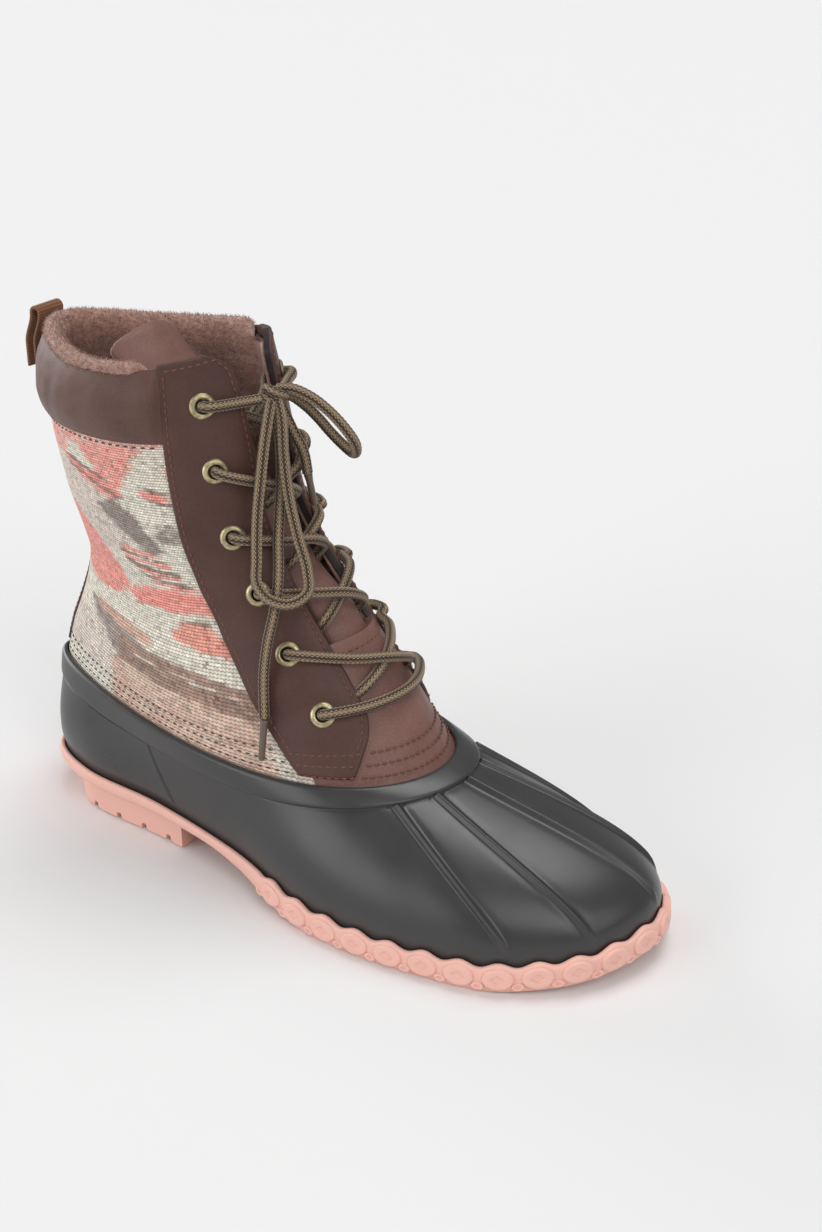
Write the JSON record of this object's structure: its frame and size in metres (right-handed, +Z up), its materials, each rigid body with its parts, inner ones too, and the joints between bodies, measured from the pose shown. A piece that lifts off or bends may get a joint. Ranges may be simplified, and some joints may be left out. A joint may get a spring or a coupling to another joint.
{
  "type": "lace-up duck boot",
  "caption": "Right-foot lace-up duck boot: ribbed moulded rubber bottom on a pink rubber sole, patterned cloth shaft with leather eyestays and padded cuff, tied bow.",
  "frame": {"origin": "middle of the boot's length and width, on the floor under the sole", "axes": "+X from heel to toe, +Y to the inner (medial) side, +Z up"},
  "size_m": [0.291, 0.1054, 0.2126],
  "materials": {
    "pink_rubber": "matte moulded rubber",
    "black_rubber": "satin moulded rubber",
    "blanket_cloth": "woven blanket cloth and leather vamp",
    "brown_leather": "soft grained leather",
    "felt_insole": "brushed fleece",
    "caramel_ribbon": "ribbed ribbon",
    "antique_brass": "aged brass",
    "lace_braid": "two-tone braid",
    "aglet_plastic": "satin film"
  },
  "bodies": {
    "root": {"outsole": "pink_rubber", "rubber_shell": "black_rubber", "upper": "blanket_cloth", "eyestay_lateral": "brown_leather", "eyestay_medial": "brown_leather", "collar_cuff": "brown_leather", "back_stay": "brown_leather", "tongue": "brown_leather", "insole": "felt_insole", "pull_loop": "caramel_ribbon", "eyelet_lateral_1": "antique_brass", "eyelet_lateral_2": "antique_brass", "eyelet_lateral_3": "antique_brass", "eyelet_lateral_4": "antique_brass", "eyelet_lateral_5": "antique_brass", "eyelet_lateral_6": "antique_brass", "eyelet_medial_1": "antique_brass", "eyelet_medial_2": "antique_brass", "eyelet_medial_3": "antique_brass", "eyelet_medial_4": "antique_brass", "eyelet_medial_5": "antique_brass", "eyelet_medial_6": "antique_brass", "lace_bar_low": "lace_braid", "lace_crossing_1": "lace_braid", "lace_crossing_2": "lace_braid", "lace_crossing_3": "lace_braid", "lace_crossing_4": "lace_braid", "lace_crossing_5": "lace_braid", "lace_bar_top_lateral": "lace_braid", "lace_bar_top_medial": "lace_braid", "lace_knot": "lace_braid", "lace_loop_1": "lace_braid", "lace_end_1": "lace_braid", "lace_loop_2": "lace_braid", "lace_end_2": "lace_braid", "aglet_1": "aglet_plastic", "aglet_2": "aglet_plastic"}
  },
  "joints": []
}
